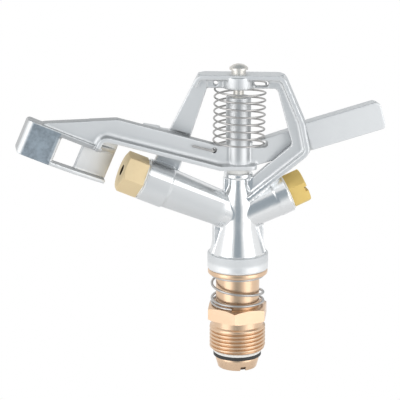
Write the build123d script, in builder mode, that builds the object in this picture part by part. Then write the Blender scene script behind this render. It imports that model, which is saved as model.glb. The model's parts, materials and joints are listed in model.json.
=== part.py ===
from build123d import *
import os
from math import cos, radians, sin, sqrt, tan

os.makedirs("parts", exist_ok=True)

# Two-nozzle impact sprinkler, in millimetres.
# The riser axis is +Z, the main jet leaves towards -X, and the lower face of the threaded nipple is z = 0.

# Clearances
slip_gap = 0.05  # fixed pieces that slide into each other, per side
running_gap = 0.06  # turning fits, per side
wire_seat_gap = 0.1  # spring wire above the face that it rests on
arm_gap = 0.5  # swinging arm to the frame beside it
nozzle_room = 1.0  # frame to the corners of the nozzles

# Threaded nipple
thread_radius = 16.62
thread_length = 14.4
thread_chamfer = 1.4
relief_height = 5.0
relief_radius = 15.5
hex_flats = 33.5
hex_height = 8.0
hex_turn = 15.7
hex_chamfer = 1.2
sleeve_radius = 12.9
sleeve_height = 28.8

# Stem with its flange and washers
stem_radius = 10.0
stem_bore_radius = 7.6
stem_socket_depth = 7.5
flange_radius = 13.1
flange_tip_radius = 11.6
flange_height = 7.1
flange_edge = 1.6
driver_slot_width = 3.2
driver_slot_depth = 2.4
driver_slot_reach = 2.0
driver_slot_turn = 8.0
washer_radius = 14.3
ptfe_thickness = 1.9
rubber_thickness = 2.2

# Bearing spring, spring washer and thrust ring
bearing_wire = 1.5
bearing_coil_radius = 15.3
bearing_spring_height = 18.1
bearing_dead_turns = 1.0
bearing_live_turns = 1.55
bearing_climb_power = 1.5
bearing_dead_pitch = 2.1
bearing_tip_angle = -112.0
spring_washer_thickness = 1.4
spring_washer_radius = 15.9
ring_radius = 17.7
ring_thickness = 3.0
ring_edge = 0.5
ring_clearance = 0.25

# Turned middle of the casting
base_radius = 18.0
base_height = 9.8
base_chamfer = 0.6
recess_radius = 13.5
press_travel = 3.0
waterway_radius = 7.0
recess_spare = 1.0
cone_foot_radius = 15.8
cone_top_radius = 11.5
cone_height = 15.6
core_height = 6.0
post_radius = 6.2
post_blend_height = 15.0
collar_radius = 8.4
collar_height = 2.6
post_top_rise = 58.1
rib_reach = 8.7
rib_thickness = 4.5
gusset_reach = 14.8
gusset_foot = 17.4
gusset_thickness = 8.0
gusset_flare = 8.0
gusset_sink = 1.0

# Barrels, measured along their axes from the point where these meet the riser axis
junction_rise = 32.2
barrel_angle = 23.4
main_root_radius = 10.0
main_tip_radius = 11.7
main_boss_radius = 12.4
main_boss_start = 46.0
main_boss_end = 61.2
main_bore_radius = 8.0
rear_root_radius = 10.4
rear_tip_radius = 11.2
rear_boss_radius = 11.5
rear_boss_start = 24.0
rear_boss_end = 32.0
rear_bore_radius = 4.6

# Nozzles
nozzle_gasket_thickness = 0.7
gasket_inset = 1.0
main_spigot_radius = 9.3
main_spigot_length = 9.0
main_hex_flats = 21.6
main_hex_length = 12.7
main_hex_turn = 21.5
main_jet_radius = 2.8
main_throat_radius = 7.4
main_mouth_radius = 3.4
rear_spigot_radius = 7.0
rear_spigot_length = 7.5
rear_hex_flats = 19.0
rear_hex_length = 10.6
rear_hex_turn = 8.0
rear_jet_radius = 1.8
rear_throat_radius = 4.2
rear_mouth_radius = 2.4
spread_slot_width = 3.0
spread_slot_depth = 1.8
mouth_depth = 0.6
jet_land = 4.0
nozzle_chamfer = 1.0

# Pivot pin and what it carries
pin_radius = 3.1
pin_socket_depth = 11.0
pin_head_radius = 5.4
pin_head_height = 3.3
pin_collar_radius = 4.2
pin_collar_height = 2.6
seat_washer_radius = 6.6
seat_washer_thickness = 2.8
bush_wall = 1.4
bush_length = 12.0

# Frame: a web with a deep outer rim, in an upright plane turned from the plane of the barrels
frame_turn = 12.5
frame_web = 5.5
frame_rim = 2.8
frame_rim_depth = 15.0
bridge_height = 8.2
bridge_left = 23.6
bridge_right = 26.6
window_left = 18.2
window_right = 22.4
left_leg_depth = 8.5
left_foot_outer = 54.0
left_foot_inner = 38.0
right_shoulder_reach = 38.2
right_shoulder_drop = 27.0
right_elbow_reach = 42.0
right_elbow_drop = 45.4
elbow_inner_reach = 31.4
elbow_inner_drop = 41.0
strut_foot_drop = 80.5
strut_inner_reach = 6.0
strut_inner_drop = 63.0
frame_corner = 6.0
frame_cove = 1.8
window_round = 3.0
bridge_boss_radius = 9.1
bridge_boss_drop = 0.2
hook_level_drop = 5.3
hook_hole_radius = 1.4
hook_hole_reach = 13.2
hook_slot_length = 8.6
hook_slot_height = 3.4
anvil_reach = 56.0
anvil_length = 10.0
anvil_height = 13.0
anvil_depth = 7.0
anvil_drop = 1.6
anvil_step = 1.0
anvil_angle = 9.0

# Swinging arm
hub_radius = 7.3
hub_relief = 0.8
hub_height = 42.5
pin_show = 5.0
arm_web = 8.0
arm_flange_depth = 9.6
arm_flange = 2.6
arm_flange_end = 10.0
arm_flange_round = 4.0
arm_cove = 2.5
lever_angle = 16.4
lever_height = 13.8
left_heel = 12.0
left_heel_rise = 0.4
lever_crest_reach = 70.8
arch_reach = 79.0
arch_landing = 12.0
crest_tip_drop = 0.8
crest_tip_reach = 2.0
web_tip_setback = 8.0
right_heel = 11.6
right_heel_rise = 2.2
right_low_angle = 13.5
right_high_angle = 16.6
right_web_height = 14.4
weight_start = 42.8
weight_end = 86.6
weight_angle = 15.0
weight_height = 17.4
weight_thickness = 9.0
weight_slant = 4.5
weight_root = 6.5
weight_round = 1.5
weight_toe = 3.4
weight_nose = 3.0
web_slot_length = 9.2
web_slot_height = 4.0
web_slot_rise = 14.4
tail_hole_radius = 1.5
tail_hole_rise = 11.6

# Spoon, along the jet and across it
spoon_gap = 6.3
spoon_length = 55.6
spoon_low = -11.7
spoon_high = 8.7
spoon_plate = 2.7
spoon_rail = 2.4
spoon_round = 2.0
spoon_front = 6.5
spoon_back = 7.0
vane_length = 21.7
vane_wall = 3.0
vane_curl = 4.5
window_length = 13.6
deflector_wall = 3.0
deflector_high = 12.0
deflector_lead = 1.0
deflector_spread = 5.5
rail_depth = 5.0
plate_setback = 10.0
vane_bevel = 3.0
vane_cheek = 4.0
arm_flange_bend = 3.0

# Torsion spring of the arm
arm_wire = 1.1
arm_coil_radius = 14.8
arm_coil_lean = 1.0
arm_spring_turns = 7.5
arm_tail_length = 12.0
arm_tail_bend = 1.4
arm_tail_lift = 0.3
bridge_clear = 0.5

# Levels that follow from the sizes above
hex_bottom = thread_length + relief_height
hex_top = hex_bottom + hex_height
spring_washer_bottom = hex_top + bearing_spring_height
ring_bottom = spring_washer_bottom + spring_washer_thickness
body_bottom = ring_bottom + ring_thickness
sleeve_top = hex_top + sleeve_height
recess_top = sleeve_top + press_travel + recess_spare
socket_top = recess_top + stem_socket_depth
flange_top = -ptfe_thickness - rubber_thickness
base_top = body_bottom + base_height
cone_top = base_top + cone_height
junction_level = body_bottom + junction_rise
post_top = body_bottom + post_top_rise
hub_bottom = post_top + seat_washer_thickness
hub_top = hub_bottom + hub_height
bridge_bottom = hub_top + pin_show
bridge_top = bridge_bottom + bridge_height
hook_level = bridge_top - hook_level_drop
bush_radius = pin_radius + running_gap + bush_wall

# Planes of the barrels, x outwards along the barrel and y square to it, and of the frame
slope = radians(barrel_angle)
junction = Vector(0, 0, junction_level)
main_plane = Plane(junction, x_dir=(-cos(slope), 0, sin(slope)), z_dir=(0, 1, 0))
rear_plane = Plane(junction, x_dir=(cos(slope), 0, sin(slope)), z_dir=(0, -1, 0))
main_axis = Axis(junction, main_plane.x_dir)
rear_axis = Axis(junction, rear_plane.x_dir)
turn = radians(frame_turn)
frame_plane = Plane((0, 0, 0), x_dir=(cos(turn), -sin(turn), 0), z_dir=(-sin(turn), -cos(turn), 0))

main_hex_start = main_boss_end + nozzle_gasket_thickness
rear_hex_start = rear_boss_end + nozzle_gasket_thickness
spoon_start = main_hex_start + main_hex_length + spoon_gap
spoon_end = spoon_start + spoon_length
vane_start = spoon_end - vane_length
deflector_end = vane_start - window_length


def on_jet(along, across):
    """Point of the arm's upright plane, from its place along the jet and across it."""
    place = main_plane.from_local_coords((along, across, 0))
    return (place.X, place.Z)


def line_level(reach, start_reach, start_level, angle):
    """Level of a straight edge that rises by an angle from a start."""
    return start_level + (reach - start_reach) * tan(radians(angle))


def biarc_middle(p0, t0, p1, t1):
    """Point where two tangent arcs meet between two points with given directions."""
    chord = p1 - p0
    both = t0 + t1
    square = 2 * (1 - t0.dot(t1))
    along = chord.dot(both)
    reach = (sqrt(along**2 + square * chord.dot(chord)) - along) / square
    return (p0 + t0 * reach + p1 - t1 * reach) * 0.5


def edges_beside(part, line, aside, off):
    """Edges of a part that run along a line, aside from it in its plane and off that plane."""
    apart = sqrt(aside**2 + off**2)
    found = []
    for edge in part.edges():
        if all(abs(line.distance_to(edge @ at) - apart) < slip_gap for at in (0, 0.5, 1)):
            found.append(edge)
    return found


def helix_nodes(radius, level_at, start_angle, turns, sense, lean=0.0, steps_per_turn=4):
    """Points and directions of a coil: its level follows the turns made, its start leans to one side."""
    count = round(turns * steps_per_turn)
    small = 1e-4
    nodes = []
    for step in range(count + 1):
        made = turns * step / count
        places = []
        for at in (made - small, made, made + small):
            angle = radians(start_angle + sense * 360 * at)
            aside = lean * (1 - at / turns)
            places.append(Vector(aside + radius * cos(angle), radius * sin(angle), level_at(at)))
        nodes.append((places[1], (places[2] - places[0]).normalized()))
    return nodes


def least_gap(path, wire, apart):
    """Smallest distance between the wire's turns, on points along its path."""
    count = int(path.length / (2 * wire))
    points = [path @ (step / count) for step in range(count + 1)]
    skip = int(apart / (path.length / count))
    gaps = [(p - q).length for i, p in enumerate(points) for q in points[i + skip :]]
    return min(gaps) - wire


# Outlines of the arm in its upright plane, from the riser axis outwards
heel_level = hub_bottom + left_heel_rise
arch_level = line_level(arch_reach, left_heel, heel_level, lever_angle)
low_edge = [
    (0, hub_bottom),
    (-left_heel, heel_level),
    (-arch_reach, arch_level),
    on_jet(spoon_start + arch_landing, spoon_high - spoon_plate),
]
crest_level = line_level(lever_crest_reach, left_heel, heel_level + lever_height, lever_angle)
web_tip = on_jet(spoon_end - web_tip_setback, spoon_high)
left_web = [
    *low_edge,
    on_jet(spoon_end - web_tip_setback, spoon_high - spoon_plate),
    web_tip,
    (web_tip[0] + crest_tip_reach, crest_level - crest_tip_drop),
    (-lever_crest_reach, crest_level),
    (-left_heel, heel_level + lever_height),
    (0, heel_level + lever_height),
]
right_low = hub_bottom + right_heel_rise
weight_low = line_level(weight_start, right_heel, right_low, right_low_angle)
weight_high = line_level(weight_start, right_heel, right_low + right_web_height, right_high_angle)
weight_inside = weight_start + weight_root
right_web = [
    (0, hub_bottom),
    (right_heel, right_low),
    (weight_start, weight_low),
    (weight_inside, line_level(weight_inside, weight_start, weight_low, weight_angle)),
    (weight_inside, weight_high),
    (weight_start, weight_high),
    (right_heel, right_low + right_web_height),
    (0, heel_level + lever_height),
]
end_low = line_level(weight_end, weight_start, weight_low, weight_angle)
end_high = end_low + weight_height
nose_start = weight_end - 2 * weight_nose
slant_start = weight_start - weight_slant
weight = [
    (weight_start, weight_low),
    (weight_end, end_low),
    (weight_end, end_low + weight_toe),
    (weight_end - weight_nose, end_high - weight_nose),
    (nose_start, line_level(nose_start, weight_end, end_high, weight_angle)),
    (slant_start, line_level(slant_start, weight_end, end_high, weight_angle)),
]

# Threaded nipple: plain thread cylinder, relief, hexagon and long upper sleeve
with BuildPart() as bearing_nipple:
    with BuildSketch(Plane.XZ):
        with BuildLine():
            Polyline(
                (stem_radius + running_gap, 0),
                (thread_radius - thread_chamfer, 0),
                (thread_radius, thread_chamfer),
                (thread_radius, thread_length),
                (relief_radius, thread_length + thread_radius - relief_radius),
                (relief_radius, hex_bottom),
                (sleeve_radius, hex_bottom),
                (sleeve_radius, sleeve_top),
                (stem_radius + running_gap, sleeve_top),
                close=True,
            )
        make_face()
    revolve(axis=Axis.Z)
    with BuildPart(mode=Mode.PRIVATE) as hexagon:
        with BuildSketch(Plane.XY.offset(hex_bottom)):
            RegularPolygon(hex_flats / 2, 6, major_radius=False, rotation=hex_turn)
            Circle(stem_radius + running_gap, mode=Mode.SUBTRACT)
        extrude(amount=hex_height)
        with BuildSketch(Plane.XZ):
            with BuildLine():
                corner = hex_flats / 2 / cos(radians(30))
                Polyline(
                    (0, hex_bottom),
                    (corner - hex_chamfer, hex_bottom),
                    (corner, hex_bottom + hex_chamfer / 2),
                    (corner, hex_top - hex_chamfer),
                    (hex_flats / 2, hex_top),
                    (0, hex_top),
                    close=True,
                )
            make_face()
        revolve(axis=Axis.Z, mode=Mode.INTERSECT)
    add(hexagon.part)

# Sliding washer against the nipple and sealing washer on the stem flange
with BuildPart() as ptfe_washer:
    with BuildSketch(Plane.XY.offset(-ptfe_thickness)):
        Circle(washer_radius)
        Circle(stem_radius + 2 * running_gap, mode=Mode.SUBTRACT)
    extrude(amount=ptfe_thickness)

with BuildPart() as rubber_washer:
    with BuildSketch(Plane.XY.offset(flange_top)):
        Circle(washer_radius)
        Circle(stem_radius + slip_gap, mode=Mode.SUBTRACT)
    extrude(amount=rubber_thickness)

# Stem: flanged tube with two driver slots, screwed into the casting
with BuildPart() as bearing_stem:
    with BuildSketch(Plane.XZ):
        with BuildLine():
            Polyline(
                (stem_bore_radius, flange_top - flange_height),
                (flange_tip_radius, flange_top - flange_height),
                (flange_radius, flange_top - flange_edge),
                (flange_radius, flange_top),
                (stem_radius, flange_top),
                (stem_radius, socket_top),
                (stem_bore_radius, socket_top),
                close=True,
            )
        make_face()
    revolve(axis=Axis.Z)
    with BuildSketch(Plane.XY.offset(flange_top - flange_height)):
        Rectangle(driver_slot_width, 2 * flange_radius, rotation=driver_slot_turn)
        Circle(flange_tip_radius - driver_slot_reach, mode=Mode.SUBTRACT)
    extrude(amount=driver_slot_depth, mode=Mode.SUBTRACT)

# Bearing spring: a dead turn on the hexagon, then open turns up to the washer
bearing_low = hex_top + bearing_wire / 2 + wire_seat_gap
bearing_high = spring_washer_bottom - bearing_wire / 2 - wire_seat_gap
bearing_turns = bearing_dead_turns + bearing_live_turns


def bearing_level(made):
    """Level of the bearing spring's wire after a number of turns."""
    dead_end = bearing_low + bearing_dead_pitch * bearing_dead_turns
    opened = max(0.0, made - bearing_dead_turns) / bearing_live_turns
    climb = (bearing_high - dead_end) * opened**bearing_climb_power
    return bearing_low + bearing_dead_pitch * min(made, bearing_dead_turns) + climb


with BuildPart() as bearing_spring:
    with BuildLine() as bearing_path:
        bearing_nodes = helix_nodes(
            bearing_coil_radius, bearing_level, bearing_tip_angle, bearing_turns, -1
        )
        for (p0, t0), (p1, t1) in zip(bearing_nodes, bearing_nodes[1:]):
            middle = biarc_middle(p0, t0, p1, t1)
            first_arc = TangentArc(p0, middle, tangent=t0)
            TangentArc(middle, p1, tangent=first_arc % 1)
    with BuildSketch(Plane(bearing_path.line @ 0, z_dir=bearing_path.line % 0)):
        Circle(bearing_wire / 2)
    sweep()
bearing_gap = least_gap(Wire(bearing_path.edges()), bearing_wire, bearing_coil_radius)
print("bearing spring gap", round(bearing_gap, 2))

with BuildPart() as spring_washer:
    with BuildSketch(Plane.XY.offset(spring_washer_bottom)):
        Circle(spring_washer_radius)
        Circle(sleeve_radius + ring_clearance, mode=Mode.SUBTRACT)
    extrude(amount=spring_washer_thickness)

with BuildPart() as thrust_ring:
    with BuildSketch(Plane.XY.offset(ring_bottom)):
        Circle(ring_radius)
        Circle(sleeve_radius + ring_clearance, mode=Mode.SUBTRACT)
    extrude(amount=ring_thickness)
    chamfer(thrust_ring.edges().filter_by(GeomType.CIRCLE).sort_by(SortBy.RADIUS)[-2:], ring_edge)

# Casting: base, cone, post, barrels and frame in one piece
leg_lean = (left_foot_outer - bridge_left) / (bridge_top - junction_level - left_foot_outer * tan(slope))
left_leg = [
    (-bridge_left, bridge_top),
    (-window_left, bridge_top),
    (-window_left, bridge_bottom),
    (-left_foot_inner, junction_level + left_foot_inner * tan(slope)),
    (-left_foot_outer, junction_level + left_foot_outer * tan(slope)),
]
bridge_outer = [
    (-bridge_left - frame_corner * leg_lean, bridge_top - frame_corner),
    (-bridge_left, bridge_top),
    (bridge_right, bridge_top),
    (right_shoulder_reach, bridge_top - right_shoulder_drop),
    (right_elbow_reach, bridge_top - right_elbow_drop),
    (0, bridge_top - strut_foot_drop),
]
bridge_inner = [
    (0, bridge_top - strut_inner_drop - strut_inner_reach),
    (strut_inner_reach, bridge_top - strut_inner_drop),
    (elbow_inner_reach, bridge_top - elbow_inner_drop),
    (window_right, bridge_bottom),
    (-bridge_left - bridge_height * leg_lean, bridge_bottom),
]
anvil_top = line_level(anvil_reach, left_heel, heel_level + lever_height, lever_angle) - anvil_drop
anvil_slope = tan(radians(anvil_angle))
anvil_edge = anvil_reach - anvil_length
bracket_root = bridge_left + anvil_length
anvil = [
    (-anvil_reach, anvil_top),
    (-anvil_reach, anvil_top - anvil_height),
    (-anvil_edge, anvil_top - anvil_height - anvil_length * anvil_slope),
    (-anvil_edge, anvil_top - anvil_length * anvil_slope),
]
bracket = [
    (-anvil_edge, anvil[3][1] - anvil_step),
    (-anvil_edge, anvil[2][1]),
    (-bracket_root, anvil[2][1] - (anvil_edge - bracket_root) * anvil_slope),
    (-bracket_root, anvil[3][1] - anvil_step - (anvil_edge - bracket_root) * anvil_slope),
]
far = 3 * frame_rim_depth
with BuildLine() as rim_line:
    FilletPolyline(*bridge_outer, radius=frame_corner)

with BuildPart() as body_casting:
    with BuildSketch(Plane.XZ):
        with BuildLine():
            Polyline(
                (0, body_bottom),
                (base_radius - base_chamfer, body_bottom),
                (base_radius, body_bottom + base_chamfer),
                (base_radius, base_top),
                (cone_foot_radius, base_top),
                (cone_top_radius, cone_top),
                (cone_top_radius, cone_top + core_height),
                (post_radius, cone_top + core_height + post_blend_height),
                (post_radius, post_top - collar_height),
                (collar_radius, post_top - collar_height),
                (collar_radius, post_top),
                (0, post_top),
                close=True,
            )
        make_face()
    revolve(axis=Axis.Z)
    # Side ribs of the post and gussets under the barrels
    with BuildSketch(Plane.XZ):
        with Locations((0, (junction_level + post_top - collar_height) / 2)):
            Rectangle(2 * rib_reach, post_top - collar_height - junction_level)
    extrude(amount=rib_thickness / 2, both=True)
    with BuildSketch(Plane.XZ):
        with BuildLine():
            top = Polyline(
                (gusset_reach, base_top + gusset_flare),
                (gusset_reach, junction_level),
                (-gusset_reach, junction_level),
                (-gusset_reach, base_top + gusset_flare),
            )
            foot = Line((-gusset_foot, base_top - gusset_sink), (gusset_foot, base_top - gusset_sink))
            TangentArc(top @ 0, foot @ 1, tangent=(0, -1))
            TangentArc(top @ 1, foot @ 0, tangent=(0, -1))
        make_face()
    extrude(amount=gusset_thickness / 2, both=True)
    # Main and rear barrels with their bosses
    with BuildSketch(main_plane):
        with BuildLine():
            Polyline(
                (0, 0),
                (main_boss_end, 0),
                (main_boss_end, main_boss_radius),
                (main_boss_start, main_boss_radius),
                (main_boss_start, main_tip_radius),
                (0, main_root_radius),
                close=True,
            )
        make_face()
    revolve(axis=main_axis)
    with BuildSketch(rear_plane):
        with BuildLine():
            Polyline(
                (0, 0),
                (rear_boss_end, 0),
                (rear_boss_end, rear_boss_radius),
                (rear_boss_start, rear_boss_radius),
                (rear_boss_start, rear_tip_radius),
                (0, rear_root_radius),
                close=True,
            )
        make_face()
    revolve(axis=rear_axis)
    # Frame web and outer rim with coves between them, left leg, boss of the pivot pin and anvil
    with BuildPart(mode=Mode.PRIVATE) as frame:
        with BuildSketch(frame_plane):
            with BuildLine():
                outside = Polyline(*bridge_outer)
                inside = FilletPolyline(*bridge_inner, radius=window_round)
                Line(outside @ 1, inside @ 0)
                Line(inside @ 1, outside @ 0)
            make_face()
        extrude(amount=frame_web / 2, both=True)
        with BuildSketch(frame_plane):
            with BuildLine():
                add(rim_line.line)
                offset(amount=frame_rim, side=Side.RIGHT)
            make_face()
        extrude(amount=frame_rim_depth / 2, both=True)
        coves = edges_beside(frame, frame_plane.from_local_coords(rim_line.line), frame_rim, frame_web / 2)
        fillet(coves, frame_cove)
    add(frame.part)
    with BuildSketch(frame_plane):
        with BuildLine():
            Polyline(*bracket, close=True)
        make_face()
    extrude(amount=frame_web / 2, both=True)
    with BuildSketch(frame_plane):
        with BuildLine():
            Polyline(*left_leg, close=True)
        make_face()
    extrude(amount=left_leg_depth / 2, both=True)
    with BuildSketch(Plane.XY.offset(bridge_bottom - bridge_boss_drop)):
        Circle(bridge_boss_radius)
    extrude(amount=bridge_height + bridge_boss_drop - frame_rim / 2)
    with BuildSketch(frame_plane.offset(-frame_web / 2)):
        with BuildLine():
            Polyline(*anvil, close=True)
        make_face()
    extrude(amount=frame_web / 2 + anvil_depth)
    # Room for the arm, in front of the left leg and behind the right one
    with BuildSketch(Plane.XZ.offset(-arm_web / 2 - arm_gap)):
        with BuildLine():
            Polyline(*left_web, close=True)
        make_face()
        offset(amount=2 * arm_gap)
        with Locations((-hub_radius - arm_gap, hub_bottom)):
            Rectangle(4 * hub_height, 4 * hub_height, align=(Align.MIN, Align.CENTER), mode=Mode.SUBTRACT)
    extrude(amount=far, mode=Mode.SUBTRACT)
    with BuildSketch(Plane.XZ.offset(weight_thickness / 2 + arm_gap)):
        with BuildLine():
            Polyline(*right_web, close=True)
        make_face()
        with BuildLine():
            Polyline(*weight, close=True)
        make_face()
        offset(amount=2 * arm_gap)
        with Locations((hub_radius + arm_gap, hub_bottom)):
            Rectangle(4 * hub_height, 4 * hub_height, align=(Align.MAX, Align.CENTER), mode=Mode.SUBTRACT)
    extrude(amount=-far, mode=Mode.SUBTRACT)
    # Room round the nozzles
    for axis_plane, flats, end in (
        (main_plane, main_hex_flats, main_boss_end),
        (rear_plane, rear_hex_flats, rear_boss_end),
    ):
        with BuildSketch(Plane(junction, z_dir=axis_plane.x_dir).offset(end)):
            Circle(flats / 2 / cos(radians(30)) + nozzle_room)
        extrude(amount=far, mode=Mode.SUBTRACT)
    # Recess for the sleeve, socket of the stem and the waterways
    with BuildSketch(Plane.XY.offset(body_bottom)):
        Circle(recess_radius)
    extrude(amount=recess_top - body_bottom, mode=Mode.SUBTRACT)
    with BuildSketch(Plane.XY.offset(recess_top)):
        Circle(stem_radius + slip_gap)
    extrude(amount=stem_socket_depth, mode=Mode.SUBTRACT)
    with BuildSketch(Plane.XY.offset(socket_top)):
        Circle(waterway_radius)
    extrude(amount=junction_level - socket_top, mode=Mode.SUBTRACT)
    for plane, axis, bore, socket, depth, end in (
        (main_plane, main_axis, main_bore_radius, main_spigot_radius, main_spigot_length, main_boss_end),
        (rear_plane, rear_axis, rear_bore_radius, rear_spigot_radius, rear_spigot_length, rear_boss_end),
    ):
        start = end - depth - slip_gap
        with BuildSketch(plane):
            with BuildLine():
                Polyline(
                    (0, 0),
                    (end, 0),
                    (end, socket + slip_gap),
                    (start, socket + slip_gap),
                    (start, bore),
                    (0, bore),
                    close=True,
                )
            make_face()
        revolve(axis=axis, mode=Mode.SUBTRACT)
    # Holes of the pivot pin and of the spring's upper end
    with BuildSketch(Plane.XY.offset(post_top - pin_socket_depth)):
        Circle(pin_radius + slip_gap)
    extrude(amount=bridge_top - post_top + pin_socket_depth, mode=Mode.SUBTRACT)
    with BuildSketch(frame_plane):
        with Locations((-hook_hole_reach, hook_level)):
            Circle(hook_hole_radius)
        hook_reach = arm_coil_radius + arm_coil_lean
        with Locations((hook_reach + (hook_slot_height - hook_slot_length) / 2, hook_level)):
            SlotOverall(hook_slot_length, hook_slot_height)
    extrude(amount=far, both=True, mode=Mode.SUBTRACT)


def nozzle_profile(start, spigot_radius, spigot_length, flats, length, throat, jet, mouth):
    """Half outlines of a nozzle along its axis: the round body and the waterway."""
    gasket_start = start - nozzle_gasket_thickness
    spigot_start = gasket_start - spigot_length
    tip = start + length
    corner = flats / 2 / cos(radians(30))
    body = [
        (spigot_start, 0),
        (tip, 0),
        (tip, flats / 2 - nozzle_chamfer / 2),
        (tip - nozzle_chamfer, corner),
        (start, corner),
        (start, spigot_radius),
        (spigot_start, spigot_radius),
    ]
    water = [
        (spigot_start, 0),
        (tip, 0),
        (tip, mouth),
        (tip - mouth_depth, jet),
        (tip - mouth_depth - jet_land, jet),
        (spigot_start, throat),
    ]
    return body, water


main_body, main_water = nozzle_profile(
    main_hex_start,
    main_spigot_radius,
    main_spigot_length,
    main_hex_flats,
    main_hex_length,
    main_throat_radius,
    main_jet_radius,
    main_mouth_radius,
)
rear_body, rear_water = nozzle_profile(
    rear_hex_start,
    rear_spigot_radius,
    rear_spigot_length,
    rear_hex_flats,
    rear_hex_length,
    rear_throat_radius,
    rear_jet_radius,
    rear_mouth_radius,
)

# Main nozzle: hexagon with a threaded spigot and a tapered waterway
with BuildPart() as main_nozzle:
    with BuildSketch(main_plane):
        with BuildLine():
            Polyline(*main_body, close=True)
        make_face()
    revolve(axis=main_axis)
    with BuildSketch(Plane(junction, z_dir=main_plane.x_dir, x_dir=main_plane.y_dir)):
        RegularPolygon(main_hex_flats / 2, 6, major_radius=False, rotation=main_hex_turn)
    extrude(amount=main_hex_start + main_hex_length, mode=Mode.INTERSECT)
    with BuildSketch(main_plane):
        with BuildLine():
            Polyline(*main_water, close=True)
        make_face()
    revolve(axis=main_axis, mode=Mode.SUBTRACT)

with BuildPart() as main_nozzle_gasket:
    with BuildSketch(Plane(junction, z_dir=main_plane.x_dir).offset(main_boss_end)):
        Circle(main_boss_radius - gasket_inset)
        Circle(main_spigot_radius + slip_gap, mode=Mode.SUBTRACT)
    extrude(amount=nozzle_gasket_thickness)

# Rear nozzle: smaller hexagon with a slot that spreads its jet
with BuildPart() as rear_nozzle:
    with BuildSketch(rear_plane):
        with BuildLine():
            Polyline(*rear_body, close=True)
        make_face()
    revolve(axis=rear_axis)
    with BuildSketch(Plane(junction, z_dir=rear_plane.x_dir, x_dir=rear_plane.y_dir)):
        RegularPolygon(rear_hex_flats / 2, 6, major_radius=False, rotation=rear_hex_turn)
    extrude(amount=rear_hex_start + rear_hex_length, mode=Mode.INTERSECT)
    with BuildSketch(rear_plane):
        with BuildLine():
            Polyline(*rear_water, close=True)
        make_face()
    revolve(axis=rear_axis, mode=Mode.SUBTRACT)
    with BuildSketch(rear_plane):
        with Locations((rear_hex_start + rear_hex_length, 0)):
            Rectangle(2 * spread_slot_depth, spread_slot_width)
    extrude(amount=rear_hex_flats, both=True, mode=Mode.SUBTRACT)

with BuildPart() as rear_nozzle_gasket:
    with BuildSketch(Plane(junction, z_dir=rear_plane.x_dir).offset(rear_boss_end)):
        Circle(rear_boss_radius - gasket_inset)
        Circle(rear_spigot_radius + slip_gap, mode=Mode.SUBTRACT)
    extrude(amount=nozzle_gasket_thickness)

# Pivot pin with a domed head, its collar and the washer under the hub
with BuildPart() as pivot_pin:
    head_bottom = bridge_top + pin_collar_height
    with BuildSketch(Plane.XZ):
        with BuildLine():
            shaft = Polyline(
                (0, head_bottom + pin_head_height),
                (0, post_top - pin_socket_depth),
                (pin_radius, post_top - pin_socket_depth),
                (pin_radius, head_bottom),
                (pin_head_radius, head_bottom),
                (pin_head_radius, head_bottom + pin_head_height / 3),
            )
            TangentArc(shaft @ 0, shaft @ 1, tangent=(1, 0))
        make_face()
    revolve(axis=Axis.Z)

with BuildPart() as pin_collar:
    with BuildSketch(Plane.XY.offset(bridge_top)):
        Circle(pin_collar_radius)
        Circle(pin_radius + slip_gap, mode=Mode.SUBTRACT)
    extrude(amount=pin_collar_height)

with BuildPart() as arm_seat_washer:
    with BuildSketch(Plane.XY.offset(post_top)):
        Circle(seat_washer_radius)
        Circle(pin_radius + slip_gap, mode=Mode.SUBTRACT)
    extrude(amount=seat_washer_thickness)

# Swinging arm: hub, two levers with a front flange, counterweight and spoon
with BuildLine() as flange_line:
    FilletPolyline((arm_flange_end, hub_bottom), *low_edge[1:], radius=arm_flange_bend)

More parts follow.
